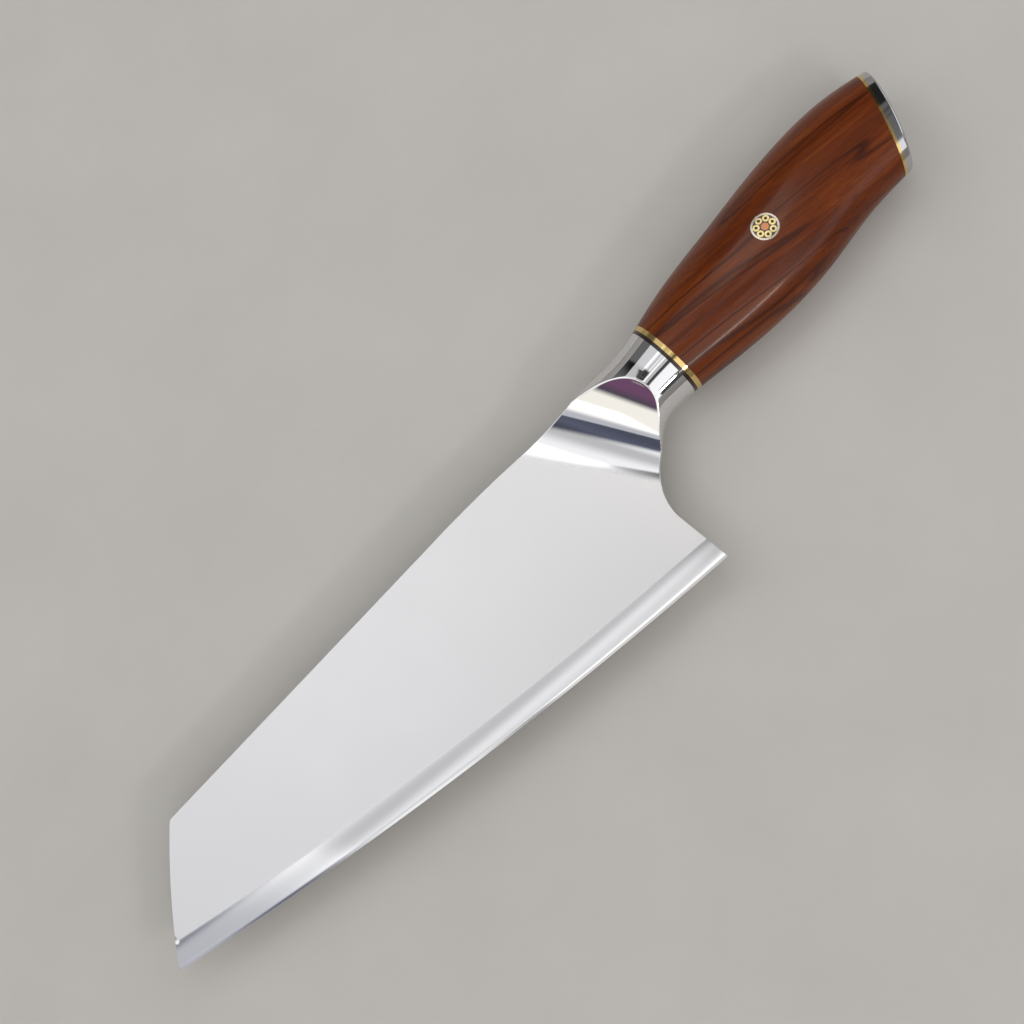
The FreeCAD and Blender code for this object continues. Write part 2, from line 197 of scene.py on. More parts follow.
def makeWood():
    material, tree, surface = newMaterial("buffedRosewood", {
        "IOR": 1.45, "Specular IOR Level": 0.26, "Coat Weight": 0.22, "Coat Roughness": 0.12,
    })
    turned = (0.0, 0.0, math.radians(woodLook["lean"]))
    # the grain waves gently along the handle
    wave = addNode(tree, "ShaderNodeTexNoise", {
        "Vector": millimetres(tree, (80.0, 30.0, 30.0), turned), "Scale": 1.0, "Detail": 0.0,
    }).outputs["Color"]
    sway = addNode(tree, "ShaderNodeVectorMath", {0: wave, 1: (0.5, 0.5, 0.5)},
                   operation="SUBTRACT").outputs[0]

    def streaks(length, width, amount, detail):
        # noise drawn out along the grain, swayed across it by a share of its own width
        place = addNode(tree, "ShaderNodeVectorMath", {
            0: sway, 1: (0.0, amount, amount), 2: millimetres(tree, (length, width, width), turned),
        }, operation="MULTIPLY_ADD").outputs[0]
        return addNode(tree, "ShaderNodeTexNoise", {
            "Vector": place, "Scale": 1.0, "Detail": detail, "Roughness": 0.6,
        }).outputs[0]

    broad = streaks(150.0, 6.0, 0.8, 2.0)
    fine = streaks(60.0, 0.9, 4.0, 3.0)
    blend = addNode(tree, "ShaderNodeMix", {"Factor": 0.42, "A": broad, "B": fine}).outputs[0]
    tone = colourRamp(tree, blend, woodLook["tones"])
    # thin dark veins where a drawn-out noise crosses its middle
    veinMask = colourRamp(tree, streaks(300.0, 8.0, 0.6, 1.0), [
        (0.468, 0.0), (0.484, 0.7), (0.492, 0.7), (0.512, 0.0),
    ])
    veined = addNode(tree, "ShaderNodeMix", {
        "Factor": veinMask, "A": tone, "B": hexColour(woodLook["vein"]),
    }, data_type="RGBA").outputs[2]
    # pores: dashes about 0.3 mm wide and 6 mm long
    pores = streaks(6.0, 0.3, 0.0, 2.0)
    poreMask = colourRamp(tree, pores, [(0.30, 0.45), (0.44, 0.0)])
    pored = addNode(tree, "ShaderNodeMix", {
        "Factor": poreMask, "A": veined, "B": hexColour(woodLook["pore"]),
    }, data_type="RGBA").outputs[2]
    tree.links.new(pored, surface.inputs["Base Color"])
    rough = addNode(tree, "ShaderNodeMath", {0: pores, 1: 0.2, 2: woodLook["rough"] - 0.1},
                    operation="MULTIPLY_ADD").outputs[0]
    tree.links.new(rough, surface.inputs["Roughness"])
    bump = addNode(tree, "ShaderNodeBump", {"Height": pores, "Strength": 0.10, "Distance": 0.00005})
    tree.links.new(bump.outputs[0], surface.inputs["Normal"])
    return material


def makePolished(name, colour, metallic, rough, patch=3.0, spread=0.06, **sockets):
    # a buffed surface whose gloss varies a little over patches of a few millimetres
    inputs = {"Base Color": hexColour(colour), "Metallic": metallic}
    inputs.update({key.replace("_", " "): value for key, value in sockets.items()})
    material, tree, surface = newMaterial(name, inputs)
    haze = addNode(tree, "ShaderNodeTexNoise", {
        "Vector": millimetres(tree, (patch,) * 3), "Scale": 1.0, "Detail": 4.0,
    }).outputs[0]
    value = addNode(tree, "ShaderNodeMapRange", {
        "Value": haze, "To Min": rough - spread / 2, "To Max": rough + spread / 2,
    })
    tree.links.new(value.outputs[0], surface.inputs["Roughness"])
    return material


def addPiece(name, points, faces, material):
    # a mesh from points in millimetres from the datum
    mesh = bpy.data.meshes.new(name)
    mesh.from_pydata(toFrame(points).tolist(), [], faces)
    piece = bpy.data.objects.new(name, mesh)
    bpy.context.scene.collection.objects.link(piece)
    mesh.materials.append(material)
    return piece


weld = {"points": 1e-6, "slivers": 1e-7}  # metres


def closePiece(piece, nodes, smoothAngle=35.0):
    # points in one place are merged, normals turned outward, and edges over the angle kept sharp
    mesh = piece.data
    work = bmesh.new()
    work.from_mesh(mesh)
    bmesh.ops.remove_doubles(work, verts=work.verts, dist=weld["points"])
    bmesh.ops.dissolve_degenerate(work, edges=work.edges, dist=weld["slivers"])
    bmesh.ops.recalc_face_normals(work, faces=work.faces)
    work.to_mesh(mesh)
    work.free()
    mesh.shade_smooth()
    mesh.set_sharp_from_angle(angle=math.radians(smoothAngle))
    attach(piece, "root")
    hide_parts(*nodes)
    return piece


def ringFaces(rings, around):
    # quads between neighbouring rings, each ring closed
    index = np.arange(rings * around).reshape(rings, around)
    a, b = index[:-1], np.roll(index, -1, axis=1)[:-1]
    c, d = np.roll(index, -1, axis=1)[1:], index[1:]
    return np.stack([a, b, c, d], axis=-1).reshape(-1, 4).tolist()


def bezier(poles, count):
    # points on a Bezier curve: each pole is weighted by its Bernstein polynomial
    t = np.linspace(0, 1, count)[:, None]
    n = len(poles) - 1
    return sum(math.comb(n, k) * t ** k * (1 - t) ** (n - k) * np.array(pole, float)
               for k, pole in enumerate(poles))


def arcPoints(start, end, radius, count):
    # arc from start to end with its middle pushed to the right of that direction; also its centre
    start, end = np.array(start, float), np.array(end, float)
    chord = end - start
    half = np.linalg.norm(chord) / 2
    right = np.array([chord[1], -chord[0]]) / (2 * half)
    centre = (start + end) / 2 - right * math.sqrt(radius ** 2 - half ** 2)
    turn = math.asin(half / radius)
    swing = np.linspace(-turn, turn, count)[:, None]
    return centre + radius * (np.cos(swing) * right + np.sin(swing) * chord / (2 * half)), centre


def lower(a, b, width):
    # the lower of two heights, the corner between them rounded over about the given width
    share = np.clip(0.5 + 0.5 * (b - a) / width, 0, 1)
    return b * (1 - share) + a * share - width * share * (1 - share)


def stockEllipse(x):
    # top, bottom and half width of the bolster's oval bar at x
    ahead = np.clip(-x, 0, None)
    spread = np.clip(ahead - bolster["waistAhead"], 0, None)
    spread = spread / (bolster["length"] - bolster["waistAhead"])
    quarter = math.pi / 2
    drawnIn = bolster["waistDepth"] * np.sin(quarter * np.minimum(1, ahead / bolster["waistAhead"]))
    sunk = bolster["topWaistDepth"] * np.sin(quarter * np.minimum(1, ahead / bolster["topWaistAhead"]))
    top = bolster["top"] - sunk + bolster["lift"] * spread ** bolster["liftPower"]
    bottom = bolster["bottom"] + drawnIn - bolster["fall"] * spread ** bolster["fallPower"]
    return top, bottom, bolster["width"] / 2 - drawnIn


tip = np.array([-blade["heelSetback"] - blade["edgeLength"], -blade["tipDepth"]])
heel = np.array([-blade["heelSetback"], -blade["heelDepth"]])
corner = np.array([tip[0] + blade["clipLength"], 0.0])
edgeArc, edgeCentre = arcPoints(tip, heel, blade["edgeRadius"], 400)


def planeThrough(places):
    # heights p + q x + r y through three points (x, y, height)
    rows = np.array([[1, x, y] for x, y, z in places])
    return np.linalg.solve(rows, np.array([z for x, y, z in places]))


flat = planeThrough([
    (-bolster["plungeAhead"], 0, blade["spineAtBolster"] / 2),
    (corner[0], 0, blade["spineAtCorner"] / 2),
    (heel[0], heel[1] + blade["bevelWidth"], blade["shoulderThickness"] / 2),
])
slope = math.radians(bolster["plungeAngle"])
footStart = np.array([-bolster["plungeAhead"], -bolster["plungeDepth"]])
footAlong = np.array([math.cos(slope), -math.sin(slope)])
footAcross = np.array([math.sin(slope), math.cos(slope)])


def forgedHeight(x, y):
    # half thickness at (x, y): the flat plane, carried up behind the foot line by an arc whose
    # radius tapers along it, cut off by the oval bar, and by the bevel within its width of the edge
    face = flat[0] + flat[1] * x + flat[2] * y
    past = (x - footStart[0]) * footAcross[0] + (y - footStart[1]) * footAcross[1]
    along = (x - footStart[0]) * footAlong[0] + (y - footStart[1]) * footAlong[1]
    radius = np.clip(bolster["scoopRadius"] - bolster["scoopTaper"] * along, bolster["scoopLeast"],
                     bolster["scoopMost"])
    reach = np.clip(past, 0, radius)
    ramp = face + radius - np.sqrt(np.clip(radius ** 2 - reach ** 2, 0, None))
    top, bottom, half = stockEllipse(x)
    up = (y - (top + bottom) / 2) / ((top - bottom) / 2)
    oval = half * np.sqrt(np.clip(1 - up ** 2, 0, None))
    oval = np.where(x < -bolster["bladeRoot"], np.maximum(oval, blade["spineAtBolster"]), oval)
    height = lower(ramp, oval, bolster["crestRound"])
    height = np.where(oval < 2 * bolster["crestRound"], np.minimum(height, oval), height)
    inward = blade["edgeRadius"] - np.hypot(x - edgeCentre[0], y - edgeCentre[1])
    shrink = (blade["edgeRadius"] - blade["bevelWidth"]) / (blade["edgeRadius"] - inward)
    shoulderX = edgeCentre[0] + (x - edgeCentre[0]) * shrink
    shoulderY = edgeCentre[1] + (y - edgeCentre[1]) * shrink
    shoulder = flat[0] + flat[1] * shoulderX + flat[2] * shoulderY
    behind = blade["behindEdge"] / 2
    land = blade["edgeLand"] / 2
    share = np.clip((inward - blade["edgeBevel"]) / (blade["bevelWidth"] - blade["edgeBevel"]), 0, 1)
    full = share + 4 * (blade["bevelFullness"] - 0.5) * share * (1 - share)
    bevel = behind + (shoulder - behind) * full
    honed = land + (behind - land) * np.clip(inward / blade["edgeBevel"], 0, 1)
    bevel = np.where(inward < blade["edgeBevel"], honed, bevel)
    bevel = np.where(inward < blade["bevelWidth"], bevel, np.inf)
    return np.clip(np.minimum(height, bevel), 0, None)


clipPoints = 60


def topLine():
    # the spine from tip to collar: clip arc, small round, straight, dip, and a rise cut by the bar
    cornerTo = (tip - corner) / np.linalg.norm(tip - corner)
    clipEnd = corner + cornerTo * blade["cornerRound"]
    spineEnd = corner + np.array([blade["cornerRound"], 0])
    clip = arcPoints(clipEnd, tip, blade["clipRadius"], clipPoints)[0][::-1]
    turn = bezier([clipEnd, corner, spineEnd], 9)
    dipStart = np.array([-blade["bendAhead"], 0.0])
    dipEnd = np.array([-blade["dipAhead"], -blade["spineDip"]])
    pull = np.array([(blade["bendAhead"] - blade["dipAhead"]) / 2, 0])
    dip = bezier([dipStart, dipStart + pull, dipEnd - pull * blade["dipEase"], dipEnd], 80)
    rear = np.array([[0.0, bolster["top"] + bolster["margin"]]])
    return np.concatenate([clip, turn[1:], dip, rear])


def bottomLine():
    # the choil's sweep from the heel's rear edge to below the collar, and where it starts
    sweepStart = np.array([heel[0] - blade["choilLean"], -blade["choilTurnDepth"]])
    sweepEnd = np.array([0.0, bolster["bottom"] - bolster["margin"]])
    sweep = bezier([sweepStart, sweepStart + [0, blade["choilRise"]],
                    sweepEnd - [blade["choilReach"], 0], sweepEnd], 400)
    return sweepStart, sweep


def alongPath(points, start, end, count):
    # evenly spaced points between two shares of the path's length
    steps = np.concatenate([[0], np.cumsum(np.linalg.norm(np.diff(points, axis=0), axis=1))])
    at = np.linspace(start, end, count) * steps[-1]
    return np.stack([np.interp(at, steps, points[:, k]) for k in (0, 1)], axis=1)


materials = {
    "steel": makeSteel(),
    "wood": makeWood(),
    # warm, nearly sharp line between the dark fibre and the wood
    "brass": makePolished("buffedBrass", "#E6C987", 1.0, 0.13, spread=0.02),
    # vulcanised paper, polished: a near-black ring with a dull red cast and a soft gloss
    "fibre": makePolished("redBlackFibre", "#230A09", 0.0, 0.28, Coat_Weight=0.4),
    # mirror that turns as dark or as pale as what it faces
    "cap": makePolished("mirrorSteel", "#C8C8CB", 1.0, 0.07, spread=0.03),
    # the pin's metals are ground flush with the wood, so they shine less than the brass discs
    "sleeve": makePolished("nickelSilverTube", "#B9B5AB", 1.0, 0.24),
    "tube": makePolished("brassTube", "#D8C78F", 1.0, 0.28),
    "copper": makePolished("copperRod", "#B47C5C", 1.0, 0.28),
    # cast fillings: brown between the tubes, black inside them, both glossy like hard plastic
    "resin": makePolished("brownResin", "#54443A", 0.0, 0.25),
    "core": makePolished("blackResin", "#0B0808", 0.0, 0.3),
    # dull rod stock, out of sight
    "hidden": makePolished("drawnSteel", "#8F8F92", 1.0, 0.4),
}
print("materials made")


# how many columns and rows the forging's faces have, and where on the edge and spine they stand
columnCount = {"clip": 26, "corner": 9, "flat": 46, "bend": 16, "rise": 26, "sweep": 230}
rowCount = {"face": 110, "bevel": 10, "honed": 4}
edgeShares = {"clip": (0, 0.13), "corner": (0.134, 0.165), "flat": (0.18, 0.84), "bend": (0.85, 1.0)}
edgeLean = {"tip": 0.09, "heel": 0.07}
edgeSamples = 2001


def forgingGrid():
    # Columns run from the spine side to the shoulder of the bevel, and on to the edge: first
    # along the edge from tip to heel, then up the heel's rear edge and along the choil's sweep.
    line = topLine()
    bevel, honed = blade["bevelWidth"], blade["edgeBevel"]
    inward = np.concatenate([np.linspace(bevel, honed, rowCount["bevel"] + 1),
                             np.linspace(honed, 0, rowCount["honed"] + 1)[1:]])
    # the bevel's rows lean with the clip at the tip and with the rear edge at the heel
    clipWay = line[clipPoints // 2] - tip
    clipWay /= np.linalg.norm(clipWay)
    sweepStart, sweep = bottomLine()
    rearWay = (sweepStart - heel) / np.linalg.norm(sweepStart - heel)
    share = np.concatenate([np.linspace(*ends, columnCount[part]) for part, ends in edgeShares.items()])
    base = alongPath(edgeArc, 0, 1, edgeSamples)
    steps = np.linspace(0, 1, edgeSamples)
    start = np.stack([np.interp(share, steps, base[:, k]) for k in (0, 1)], axis=1)
    square = (edgeCentre - start) / blade["edgeRadius"]
    nearTip = np.clip(1 - share / edgeLean["tip"], 0, 1)[:, None] ** 2
    nearHeel = np.clip((share - 1 + edgeLean["heel"]) / edgeLean["heel"], 0, 1)[:, None] ** 2
    ways = square * (1 - nearTip - nearHeel) + clipWay * nearTip + rearWay * nearHeel
    ways /= np.linalg.norm(ways, axis=1)[:, None]
    # a row lies at its distance inward from the edge's arc, measured square to the arc
    slant = (ways * square).sum(axis=1)
    bevelPart = start[:, None] + ways[:, None] * (inward[None] / slant[:, None])[..., None]
    # the tip's column follows the clip itself
    clipX = bevelPart[0, :, 0]
    bevelPart[0, :, 1] = np.interp(clipX, line[:, 0], line[:, 1])
    shoulder = bevelPart[:, 0]
    # x of the columns' upper ends, closer together at the corner, the bend and the scoop
    topX = np.concatenate([
        np.linspace(shoulder[0, 0], corner[0] - 1.0, columnCount["clip"]),
        np.linspace(corner[0] - 0.7, corner[0] + 1.1, columnCount["corner"]),
        np.linspace(corner[0] + 2.5, -80.0, columnCount["flat"]),
        np.linspace(-78.5, -56.0, columnCount["bend"]),
        np.linspace(-55.6, -45.5, columnCount["rise"]),
        np.linspace(-45.3, 0.0, columnCount["sweep"]),
    ])
    top = np.stack([topX, np.interp(topX, line[:, 0], line[:, 1])], axis=1)
    up = np.linspace(0, 1, columnCount["rise"] + 1)[1:, None]
    rise = shoulder[-1] + up * (sweepStart - shoulder[-1])
    low = np.concatenate([shoulder, rise, alongPath(sweep, 0.004, 1.0, columnCount["sweep"])])
    stockTop, stockBottom, half = stockEllipse(top[:, 0])
    inBar = top[:, 0] > -bolster["bladeRoot"]
    top[:, 1] = np.where(inBar, np.minimum(top[:, 1], stockTop), top[:, 1])
    stockBottom = stockEllipse(low[:, 0])[1]
    inBar = (low[:, 0] > -bolster["bladeRoot"]) & (np.arange(len(low)) > len(shoulder))
    low[:, 1] = np.where(inBar, np.maximum(low[:, 1], stockBottom), low[:, 1])
    down = (1 - np.cos(np.linspace(0, math.pi, rowCount["face"] + 1))) / 2
    upperPart = top[:, None] + down[None, :, None] * (low - top)[:, None]
    return upperPart, bevelPart, down


def easeDown(distance, radius):
    # how far a rounded edge of that radius lies below the face at a distance from its side
    safe = np.maximum(radius, 1e-6)
    inside = np.clip(distance, 0, safe)
    return safe - np.sqrt(np.clip(safe ** 2 - (safe - inside) ** 2, 0, None))


tang = {"thickness": 4.0, "length": 76.0, "rootHeight": 16.0, "endHeight": 13.0, "endDepth": 10.5}


def makeForging():
    upperPart, bevelPart, down = forgingGrid()
    height = forgedHeight(upperPart[..., 0], upperPart[..., 1])
    fromTop = np.linalg.norm(upperPart - upperPart[:, :1], axis=2)
    fromLow = np.linalg.norm(upperPart - upperPart[:, -1:], axis=2)
    edgeColumns = len(bevelPart)
    rear = np.arange(len(upperPart))[:, None] >= edgeColumns
    height = height - easeDown(fromTop, np.minimum(blade["easedEdge"], 0.6 * height[:, :1]))
    height = height - rear * easeDown(fromLow, np.minimum(blade["easedEdge"], 0.6 * height[:, -1:]))
    bevelHeight = forgedHeight(bevelPart[..., 0], bevelPart[..., 1])
    bevelHeight[:, 0] = height[:edgeColumns, -1]
    tangLines = []
    for at, tall, middle in ((0.0, tang["rootHeight"], bolster["top"] - bolster["height"] / 2),
                             (tang["length"], tang["endHeight"], -tang["endDepth"])):
        y = middle + tall / 2 - tall * down
        tangLines.append(np.stack([
            np.full_like(y, at), y, np.full_like(y, tang["thickness"] / 2),
        ], axis=1))
    left = np.concatenate([np.dstack([upperPart, height]), np.array(tangLines)])
    leftBevel = np.dstack([bevelPart, bevelHeight])[:, 1:]
    mirror = np.array([1, 1, -1])
    columns, rows = left.shape[:2]
    bevelRows = leftBevel.shape[1]
    upper = np.arange(columns * rows).reshape(columns, rows)
    bevel = columns * rows + np.arange(edgeColumns * bevelRows).reshape(edgeColumns, bevelRows)
    bevel = np.concatenate([upper[:edgeColumns, -1:], bevel], axis=1)
    half = columns * rows + edgeColumns * bevelRows

    def strips(a, b):
        # quads between two matching rows of point numbers
        return np.stack([a[:-1], a[1:], b[1:], b[:-1]], axis=-1).reshape(-1, 4)

    def sheet(index):
        # quads between neighbouring columns and rows of point numbers
        corners = [index[:-1, :-1], index[:-1, 1:], index[1:, 1:], index[1:, :-1]]
        return np.stack(corners, axis=-1).reshape(-1, 4)

    faces = [sheet(upper), sheet(bevel), sheet(upper + half), sheet(bevel + half)]
    rim = [upper[:, 0], bevel[0], bevel[:, -1], bevel[-1], upper[edgeColumns - 1:, -1], upper[-1]]
    faces += [strips(line, line + half) for line in rim]
    points = np.concatenate([left.reshape(-1, 3), leftBevel.reshape(-1, 3)])
    points = np.concatenate([points, points * mirror])
    piece = addPiece("forgedBlade", points, np.concatenate(faces).tolist(), materials["steel"])
    return closePiece(piece, ["blade"], 22.0)


makeForging()
print("forging made")


handle = {
    "woodEnd": 90.4, "buttAngle": 22.5, "buttDepth": 10.5,
    "fibre": 1.1, "brass": 1.4, "rearBrass": 0.8, "cap": 3.2, "dome": 110.0, "rim": 0.7,
    # along the wood, rise of the top, drop of the underside, swell of each side
    "stations": [(0.00, 0.0, 0.0, 0.0), (0.16, 2.95, 2.2, 0.7), (0.36, 5.0, 4.1, 1.3),
                 (0.58, 7.1, 3.7, 1.5), (0.78, 8.0, 1.5, 1.2), (0.94, 7.0, 1.4, 0.6),
                 (1.16, 1.9, 1.7, -0.2)],
    "around": 160, "inset": 0.002,
}
buttSlant = math.radians(handle["buttAngle"])


def splineCurve(places, values):
    # cubic spline through the stations with free ends: second derivatives m solve the usual
    # three-term equations, and each span blends its two ends' values and m
    gaps = np.diff(places)
    n = len(places)
    system = np.eye(n)
    right = np.zeros(n)
    for k in range(1, n - 1):
        system[k, k - 1:k + 2] = [gaps[k - 1], 2 * (gaps[k - 1] + gaps[k]), gaps[k]]
        steeper = (values[k + 1] - values[k]) / gaps[k] - (values[k] - values[k - 1]) / gaps[k - 1]
        right[k] = 6 * steeper
    bend = np.linalg.solve(system, right)

    def curve(at):
        span = np.clip(np.searchsorted(places, at, side="right") - 1, 0, n - 2)
        gap = gaps[span]
        left, after = places[span + 1] - at, at - places[span]
        cubic = (bend[span] * left ** 3 + bend[span + 1] * after ** 3) / (6 * gap)
        straight = ((values[span] / gap - bend[span] * gap / 6) * left
                    + (values[span + 1] / gap - bend[span + 1] * gap / 6) * after)
        return cubic + straight
    return curve


stationTable = np.array(handle["stations"])
stationX = stationTable[:, 0] * handle["woodEnd"]
gripTop = splineCurve(stationX, bolster["top"] + stationTable[:, 1])
gripBottom = splineCurve(stationX, bolster["bottom"] - stationTable[:, 2])
gripHalf = splineCurve(stationX, bolster["width"] / 2 + stationTable[:, 3] - handle["inset"])


def gripPoint(x, turn):
    # oval section at x: centre plus half height times cosine, half width times sine
    top, bottom = gripTop(x), gripBottom(x)
    y = (top + bottom) / 2 + (top - bottom) / 2 * np.cos(turn)
    return np.stack([x, y, gripHalf(x) * np.sin(turn)], axis=-1)


def buttX(turn, offset):
    # x where the grip's line at that turn meets the slanted plane lying offset behind the wood
    x = np.full(np.shape(turn), handle["woodEnd"], float)
    for step in range(12):  # each step lands closer, and twelve are ample
        y = gripPoint(x, turn)[..., 1]
        back = offset + (y + handle["buttDepth"]) * math.sin(buttSlant)
        x = handle["woodEnd"] + back / math.cos(buttSlant)
    return x


turns = np.linspace(0, 2 * math.pi, handle["around"], endpoint=False)

# a mosaic pin through the grip, ground flush with the wood on both sides
pin = {
    "behind": 44.9, "depth": 10.4, "radius": 4.0, "wall": 0.55, "tubes": 7, "tubeRadius": 0.98,
    "bore": 0.45, "ringRadius": 2.42, "rodRadius": 1.1, "resinSunk": 0.005, "coreSunk": 0.003,
    "seat": 0.02, "seatReach": 0.45, "seatEase": 0.4, "firstTube": 90.0,
    # parts wider than this radius get more sides and rings than the small ones
    "wideFrom": 1.5, "wideSides": 64, "wideRings": 6, "thinSides": 36, "thinRings": 4, "middle": 0.02,
}


def capFan(faces, points, ring, around, centre):
    # triangles from one ring to a point in its middle
    at = len(points)
    points.append(centre)
    faces += [[ring * around + k, ring * around + (k + 1) % around, at] for k in range(around)]


def gripPiece(name, starts, ends, rings, material, nodes):
    # a length of the grip between two cross lines, each given as x for every turn
    share = np.linspace(0, 1, rings)[:, None]
    x = starts[None] * (1 - share) + ends[None] * share
    skin = gripPoint(x, np.broadcast_to(turns, x.shape))
    # the wood lies 0.02 mm lower under the pin, whose faces follow the grip's own form
    fromPin = np.hypot(skin[..., 0] - pin["behind"], skin[..., 1] + pin["depth"])
    under = np.clip((pin["radius"] + pin["seatReach"] - fromPin) / pin["seatEase"], 0, 1) * pin["seat"]
    skin[..., 2] -= np.sign(skin[..., 2]) * under
    points = skin.reshape(-1, 3).tolist()
    faces = ringFaces(rings, handle["around"])
    capFan(faces, points, 0, handle["around"], skin[0].mean(axis=0).tolist())
    capFan(faces, points, rings - 1, handle["around"], skin[-1].mean(axis=0).tolist())
    piece = addPiece(name, points, faces, material)
    return closePiece(piece, nodes)


across = np.zeros(handle["around"])
brassStart = across + handle["fibre"]
woodStart = brassStart + handle["brass"]
gripPiece("fibreSpacer", across, brassStart, 5, materials["fibre"], ["front_spacer_fibre"])
gripPiece("brassSpacer", brassStart, woodStart, 5, materials["brass"], ["front_spacer_brass"])
gripPiece("woodenGrip", woodStart, buttX(turns, 0), 150, materials["wood"],
          ["handle_body"])
gripPiece("rearBrassSpacer", buttX(turns, 0), buttX(turns, handle["rearBrass"]), 4,
          materials["brass"], ["rear_spacer_brass"])


def makeEndCap():
    # rings up the side wall, round the rim on a quarter circle, and in over the shallow dome
    around = handle["around"]
    outward = np.array([math.cos(buttSlant), -math.sin(buttSlant), 0])
    middle = np.array([handle["woodEnd"], -handle["buttDepth"], 0])
    front, crown = handle["rearBrass"], handle["rearBrass"] + handle["cap"]

    def domeOffset(reach):
        # how far the dome's sphere lies behind the wood at a distance from its axis
        return crown - handle["dome"] + np.sqrt(handle["dome"] ** 2 - reach ** 2)

    nearRim = gripPoint(buttX(turns, crown - 0.8), turns)
    flatWay = nearRim - middle - np.outer((nearRim - middle) @ outward, outward)
    reach = np.linalg.norm(flatWay, axis=1)
    way = flatWay / reach[:, None]
    rimCentre = domeOffset(reach - handle["rim"]) - handle["rim"]
    rings = []
    for share in np.linspace(0, 1, 9):
        offset = front + (rimCentre - front) * share
        rings.append(gripPoint(buttX(turns, offset), turns))
    for angle in np.linspace(0, math.pi / 2, 9)[1:]:
        out = reach - handle["rim"] + handle["rim"] * math.cos(angle)
        offset = rimCentre + handle["rim"] * math.sin(angle)
        rings.append(middle + way * out[:, None] + offset[:, None] * outward)
    for share in np.linspace(1, 0.04, 24)[1:]:
        out = (reach - handle["rim"]) * share
        rings.append(middle + way * out[:, None] + domeOffset(out)[:, None] * outward)
    points = np.array(rings).reshape(-1, 3).tolist()
    faces = ringFaces(len(rings), around)
    capFan(faces, points, 0, around, rings[0].mean(axis=0).tolist())
    capFan(faces, points, len(rings) - 1, around, (middle + domeOffset(0) * outward).tolist())
    piece = addPiece("endCap", points, faces, materials["cap"])
    return closePiece(piece, ["end_cap"])


makeEndCap()
print("handle made")


def gripHeight(x, y):
    # half thickness of the grip over (x, y)
    top, bottom = gripTop(x), gripBottom(x)
    up = (y - (top + bottom) / 2) / ((top - bottom) / 2)
    return gripHalf(x) * np.sqrt(np.clip(1 - up ** 2, 0, None))


def pinPiece(name, centre, inner, outer, lift, material, node):
    # a rod or tube through the grip: rings over the top face, down the wall, over the under face
    # and, in a tube, back up the bore
    size = "wide" if outer > pin["wideFrom"] else "thin"
    sides = pin[size + "Sides"]
    angle = np.linspace(0, 2 * math.pi, sides, endpoint=False)
    radii = np.linspace(outer, max(inner, pin["middle"]), pin[size + "Rings"])
    rings = []
    for sign, order in ((1, radii[::-1]), (-1, radii)):
        for radius in order:
            x = pin["behind"] + centre[0] + radius * np.cos(angle)
            y = -pin["depth"] + centre[1] + radius * np.sin(angle)
            rings.append(np.stack([x, y, sign * (gripHeight(x, y) + lift)], axis=1))
    if inner:
        rings.append(rings[0])
    faces = ringFaces(len(rings), sides)
    points = np.array(rings).reshape(-1, 3).tolist()
    if not inner:
        capFan(faces, points, 0, sides, rings[0].mean(axis=0).tolist())
        capFan(faces, points, len(rings) - 1, sides, rings[-1].mean(axis=0).tolist())
    piece = addPiece(name, points, faces, material)
    return closePiece(piece, [node])


bore = pin["radius"] - pin["wall"]
pinPiece("pinSleeve", (0, 0), bore, pin["radius"], 0, materials["sleeve"],
         "mosaic_pin_sleeve")
pinPiece("pinRod", (0, 0), 0, pin["rodRadius"], 0, materials["copper"], "mosaic_pin_rod")
pinPiece("pinResin", (0, 0), 0, bore, -pin["resinSunk"], materials["resin"],
         "mosaic_pin_resin")
for number in range(pin["tubes"]):
    angle = math.radians(pin["firstTube"]) + 2 * math.pi * number / pin["tubes"]
    centre = (pin["ringRadius"] * math.cos(angle), pin["ringRadius"] * math.sin(angle))
    label = str(number + 1)
    pinPiece("pinTube" + label, centre, pin["bore"], pin["tubeRadius"], 0,
             materials["tube"], "mosaic_pin_tube_" + label)
    pinPiece("pinCore" + label, centre, 0, pin["bore"], -pin["coreSunk"],
             materials["core"], "mosaic_pin_core_" + label)
print("pin made")

for name, material in (("tang_bedding", materials["resin"]), ("end_cap_dowels", materials["hidden"])):
    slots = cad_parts[name].data.materials
    slots.clear()
    slots.append(material)


studio = {
    "floorTones": [(0.3, "#CCCAC6"), (0.7, "#D2D0CC")], "floorSize": 8.0, "wallRadius": 3.9,
    "wallHeight": 1.6, "wallSides": 96,
    "camera": (-12.896, -132.361, 490.566), "aim": (-2.323, 17.448, 12.0), "roll": 46.866, "lens": 63.28,
}


